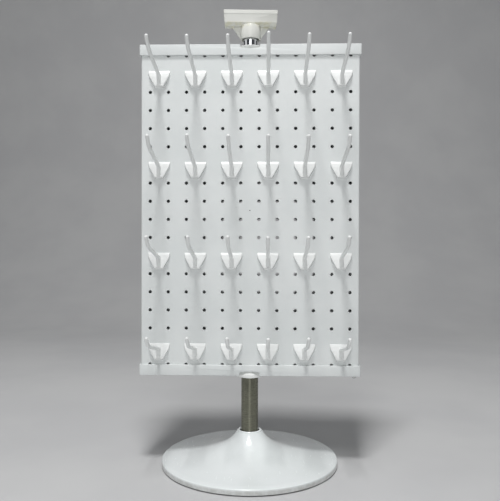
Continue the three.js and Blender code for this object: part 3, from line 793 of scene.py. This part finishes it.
def gate_mark(name):
    """The moulding's gate mark: a small stub at the middle of the board's face, coloured near black as
    painted shade for the gate's dimple.
    """
    r, height = 0.75 * MM, 0.12 * MM
    obj = turned(name, [(0, 0), (r, 0), (r, height * 0.5), (r * 0.7, height), (0, height)], 24)
    middle_z = (PANEL_LOW.z + PANEL_HIGH.z) / 2
    upright = Matrix.Rotation(math.pi / 2, 4, "X")
    obj.data.transform(Matrix.Translation((0, PANEL_LOW.y, middle_z)) @ upright)
    return obj


def add_pegboards():
    turn = Matrix.Rotation(math.pi, 4, "Z")
    for side in ("front", "back"):
        board = pegboard(f"panel_{side}_fine")
        mark = gate_mark(f"panel_{side}_gate_mark")
        if side == "back":
            board.data.transform(turn)
            mark.data.transform(turn)
        finish_piece(board, f"panel_{side}", "spinner", PANEL_PLASTIC)
        mark.data.materials.append(GATE_DIMPLE_SHADE)
        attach(mark, "spinner")


# ------------------------------------------------------------------ hooks

ARM_R = 2.6 * MM
ARM_ROOT_Z = -4 * MM
ARM_SLOPE = math.tan(math.radians(12))
ARM_REACH = 93 * MM
ARM_BEND_START = 69 * MM
ARM_BEND_LEAD = 14 * MM
ARM_TIP_Z = 25.3 * MM
PLATE_TOP = 4.2 * MM
PLATE_SHOULDER = -2.4 * MM
PLATE_BOTTOM = -19.8 * MM
PLATE_FACE = [(depth * MM, z * MM)
              for depth, z in ((1, 3.9), (2.6, 1), (4, -4.5), (4.7, -11), (4.9, -17.6))]
TOP_ROW_DROOP = 1.5
LEVEL_COLUMN = 3


def arm_height(reach):
    return ARM_ROOT_Z + reach * ARM_SLOPE


def arm_centre_line():
    """Points along the arm, out from the board along -Y and bending up to the tip."""
    line = [Vector((0, -(1 + k / 12 * (ARM_BEND_START / MM - 1)) * MM, 0)) for k in range(13)]
    for p in line:
        p.z = arm_height(-p.y)
    control_reach = ARM_BEND_START + ARM_BEND_LEAD
    bend = line[-1].copy()
    control = Vector((0, -control_reach, arm_height(control_reach)))
    tip = Vector((0, -ARM_REACH + ARM_R * 0.6, ARM_TIP_Z - ARM_R * 0.4))
    for k in range(1, 13):
        t = k / 12
        line.append(bend * (1 - t) ** 2 + control * 2 * t * (1 - t) + tip * t ** 2)
    return line


def sweep(name, line, radii, sides):
    """A round bar along a line in the YZ plane, with its ends closed."""
    points, rings = [], []
    for i, p in enumerate(line):
        along = (line[min(i + 1, len(line) - 1)] - line[max(i - 1, 0)]).normalized()
        across = Vector((1, 0, 0))
        up = across.cross(along)
        rings.append(list(range(len(points), len(points) + sides)))
        for k in range(sides):
            angle = TAU * k / sides
            points.append(p + radii[i] * (math.cos(angle) * across + math.sin(angle) * up))
    faces = [rings[0], rings[-1]]
    for first, second in zip(rings, rings[1:]):
        for k in range(sides):
            n = (k + 1) % sides
            faces.append([first[k], first[n], second[n], second[k]])
    return outward(mesh_object(name, points, faces))


def hook_arm():
    """The arm tapers a little to a domed tip."""
    line = arm_centre_line()
    radii = [ARM_R * (1.04 - 0.1 * i / (len(line) - 1)) for i in range(len(line))]
    along = (line[-1] - line[-2]).normalized()
    tip_r, centre = radii[-1], line[-1].copy()
    for k in range(1, 7):
        angle = k / 6 * math.pi / 2 * 0.97
        line.append(centre + along * tip_r * math.sin(angle))
        radii.append(tip_r * math.cos(angle))
    return sweep("arm", line, radii, 24)


def hook_plate():
    """The tapered plate: bevelled sides and bottom, and a face that curves back at the top."""
    top_half, bottom_half, bevel = 15.4 * MM, 5.8 * MM, 1.2 * MM
    full_bevel_depth = 4 * MM
    points = []
    for side in (-1, 1):
        points += [
            (side * top_half, 0, PLATE_TOP),
            (side * top_half, 0, PLATE_SHOULDER),
            (side * bottom_half, 0, PLATE_BOTTOM),
        ]
        for depth, z in PLATE_FACE:
            share = max(0, (PLATE_SHOULDER - z) / (PLATE_SHOULDER - PLATE_BOTTOM))
            half = top_half + (bottom_half - top_half) * share
            points.append((side * (half - bevel * min(1, depth / full_bevel_depth)), -depth, z))
    return hull("plate", points)


def hook_rib():
    """The web that carries the arm: wide on the plate, as thin as the arm at its outer end."""
    reach = 17 * MM
    points = []
    for side in (-1, 1):
        points += [
            (side * 2.6 * MM, -3 * MM, PLATE_BOTTOM + 3.6 * MM),
            (side * 2.2 * MM, -5.2 * MM, PLATE_BOTTOM + 4.4 * MM),
            (side * 1.3 * MM, -reach, arm_height(reach) - 1.4 * MM),
            (side * 3 * MM, -3 * MM, ARM_ROOT_Z),
        ]
    return hull("rib", points)


def hook_prongs():
    prongs = []
    behind, depth, lift, r = FACE_T + 0.4 * MM, 3.2 * MM, 5 * MM, 1.3 * MM
    for side in (-1, 1):
        x = side * PITCH / 2
        middle = behind + depth / 2
        through = turned("prong", [(0, -middle), (r, -middle), (r, 1 * MM), (0, 1 * MM)], 20)
        through.data.transform(Matrix.Translation((x, 0, 0)) @ Matrix.Rotation(math.pi / 2, 4, "X"))
        lug = turned("lug", [(0, -r), (r, -r), (r, lift - 1 * MM), (r * 0.5, lift), (0, lift)], 20)
        lug.data.transform(Matrix.Translation((x, middle, 0)))
        prongs += [through, lug]
    return prongs


def hook_mesh():
    """One moulded hook: its pieces are joined, remeshed and relaxed so that they blend."""
    hook = hook_plate()
    combine(hook, [hook_arm(), hook_rib(), *hook_prongs()], "UNION")
    remesh = hook.modifiers.new("remesh", "REMESH")
    remesh.mode = "VOXEL"
    remesh.voxel_size = 0.42 * MM
    relax = hook.modifiers.new("relax", "SMOOTH")
    relax.factor = 0.5
    relax.iterations = 5
    lighten = hook.modifiers.new("lighten", "DECIMATE")
    lighten.ratio = 0.22
    take_modifiers(hook)
    hook.data.shade_smooth()
    mesh = hook.data.copy()
    mesh.name = "hook"
    bpy.data.objects.remove(hook)
    return mesh


def add_hooks():
    """Each hook hangs a little differently in its holes."""
    mesh = hook_mesh()
    mesh.materials.append(HOOK_PLASTIC)
    luck = random.Random(7)
    first_row = PANEL_LOW.z + PANEL_END
    for row, panel_row in enumerate(HOOK_PANEL_ROWS):
        for column in range(HOOK_COLUMNS):
            node = f"hook_r{row + 1}_c{column + 1}"
            hook = add_object(f"{node}_fine", mesh)
            x = (column - (HOOK_COLUMNS - 1) / 2) * 2 * PITCH
            hook.location = (x, PANEL_LOW.y - 0.12 * MM, first_row + panel_row * PITCH)
            tilt, twist = luck.uniform(-0.5, 0.5), luck.uniform(-0.5, 0.5)
            droop = TOP_ROW_DROOP if row == 0 and column != LEVEL_COLUMN else 0
            hook.rotation_euler = (math.radians(tilt + droop), 0, math.radians(twist))
            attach(hook, "spinner")
            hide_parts(node)


# ------------------------------------------------------------------ sign clip

def sign_clip():
    """Trough with a card slot between two ribs, on a conical socket with two gussets.

    It stands turned a little on the pole.
    """
    half_w, half_d, rim = 38 * MM, 11 * MM, 0.4 * MM
    top, floor, bottom = CLIP_HIGH.z, 620.5 * MM, 617.8 * MM
    socket_low = CLIP_LOW.z
    chamfer = 3.5 * MM
    points = []
    for sx in (-1, 1):
        for sy in (-1, 1):
            points += [
                (sx * (half_w - rim), sy * (half_d - rim), top),
                (sx * (half_w - rim - 0.8 * MM), sy * (half_d - rim), bottom + chamfer),
                (sx * (half_w - rim - 1.8 * MM), sy * (half_d - chamfer), bottom),
            ]
    body = hull("sign_clip_fine", points)
    band = rounded_block("rim", half_w, half_d, top - 5.5 * MM, top, 1.2 * MM, 0.35 * MM)
    cone = turned("cone", [(0, socket_low), (14.8 * MM, socket_low), (14 * MM, bottom - 0.4 * MM),
                           (13.5 * MM, bottom + 0.7 * MM), (12.4 * MM, bottom + 1.2 * MM),
                           (0, bottom + 1.2 * MM)], 64)
    joined = [band, cone]
    for side in (-1, 1):
        points = []
        for y in (-1.2 * MM, 1.2 * MM):
            points += [(side * 10.5 * MM, y, bottom + 1 * MM), (side * 27.5 * MM, y, bottom + 1 * MM),
                       (side * 14.2 * MM, y, socket_low + 1.5 * MM),
                       (side * 12.8 * MM, y, socket_low + 1.5 * MM)]
        joined.append(hull("gusset", points))
    combine(body, joined, "UNION")
    inner_x, inner_y = half_w - rim - 3 * MM, half_d - rim - 2.2 * MM
    rib_in, rib_out, over = 3 * MM, 5 * MM, 1 * MM
    cutters = [block("slot", (-inner_x, -rib_in, floor), (inner_x, rib_in, top + over)),
               block("above", (-inner_x, -inner_y, top - 4 * MM), (inner_x, inner_y, top + over))]
    for y0, y1 in ((-inner_y, -rib_out), (rib_out, inner_y)):
        cutters.append(block("chamber", (-inner_x, y0, floor + 1.5 * MM), (inner_x, y1, top + over)))
    mouth_r, mouth_low, mouth_depth = 12.4 * MM, socket_low - 1 * MM, 9 * MM
    bore_r, bore_top = 10.15 * MM, POLE_HIGH.z + 0.3 * MM
    cutters.append(turned("bore", [
        (0, mouth_low), (mouth_r, mouth_low), (mouth_r, socket_low + mouth_depth),
        (bore_r, socket_low + mouth_depth + 2 * MM), (bore_r, bore_top), (0, bore_top)], 64))
    combine(body, cutters, "DIFFERENCE")
    soften_edges(body, 0.35 * MM, 28, 2)
    body.data.transform(Matrix.Rotation(math.radians(3), 4, "Z"))
    return body


# ------------------------------------------------------------------ studio

def camera():
    """A level view from a little right of the boards' normal."""
    data = bpy.data.cameras.new("camera")
    data.sensor_fit = "HORIZONTAL"
    data.sensor_width = 36
    data.lens = 44.2
    obj = bpy.data.objects.new("camera", data)
    bpy.context.scene.collection.objects.link(obj)
    obj.location = (23.3 * MM, -873 * MM, 308.5 * MM)
    obj.rotation_euler = [math.radians(angle) for angle in (89.527, -0.139, 1.535)]
    bpy.context.scene.camera = obj


def area_light(name, place, aim, size, power):
    data = bpy.data.lights.new(name, "AREA")
    data.shape = "RECTANGLE"
    data.size, data.size_y = size
    data.energy = power
    obj = bpy.data.objects.new(name, data)
    bpy.context.scene.collection.objects.link(obj)
    obj.location = place
    obj.rotation_euler = (Vector(aim) - Vector(place)).to_track_quat("-Z", "Y").to_euler()


def studio():
    """Pale floor that sweeps up behind, two lights high in front, a wide low one, weak fill."""
    width, front, back, rise, sweep_r = 8, -3.2, 2.4, 4.2, 1.2
    outline = [(front, 0)]
    for k in range(17):
        angle = k / 16 * math.pi / 2
        outline.append((back - sweep_r + sweep_r * math.sin(angle), sweep_r - sweep_r * math.cos(angle)))
    outline.append((back, rise))
    points = [(x, y, z) for y, z in outline for x in (-width / 2, width / 2)]
    faces = [[2 * i, 2 * i + 1, 2 * i + 3, 2 * i + 2] for i in range(len(outline) - 1)]
    floor = mesh_object("studio_floor", points, faces)
    floor.data.shade_smooth()
    s = Shading("studio_floor", roughness=0.75)
    s.colour(s.mix(s.spread(s.noise(3, 4), 0.35, 0.65), (0.62, 0.62, 0.62), (0.58, 0.58, 0.585)))
    floor.data.materials.append(s.material)
    middle = (0, 0, 0.3)
    area_light("key", (-0.12, -0.75, 2.5), middle, (0.4, 0.35), 36)
    area_light("second", (-0.15, -1.4, 2.4), middle, (0.3, 0.5), 9)
    area_light("front", (0, -3, 0.9), middle, (1.2, 1.7), 22)
    area_light("left", (-1.5, -0.3, 0.6), middle, (0.5, 1.1), 1.8)
    area_light("right", (1.5, -0.2, 0.6), middle, (0.5, 1.1), 1)
    area_light("back", (0.4, 1.1, 2.4), middle, (0.8, 0.6), 2.5)
    world = bpy.data.worlds.new("studio")
    world.use_nodes = True
    background = world.node_tree.nodes["Background"]
    background.inputs["Color"].default_value = (0.9, 0.95, 1, 1)
    background.inputs["Strength"].default_value = 0.08
    bpy.context.scene.world = world
    bpy.context.scene.view_settings.view_transform = "Standard"


# ------------------------------------------------------------------ assembly

camera()
studio()
add_base()
add_ends()
add_pegboards()
add_hooks()
finish_piece(sign_clip(), "sign_clip", "sign_clip", CLIP_PLASTIC)
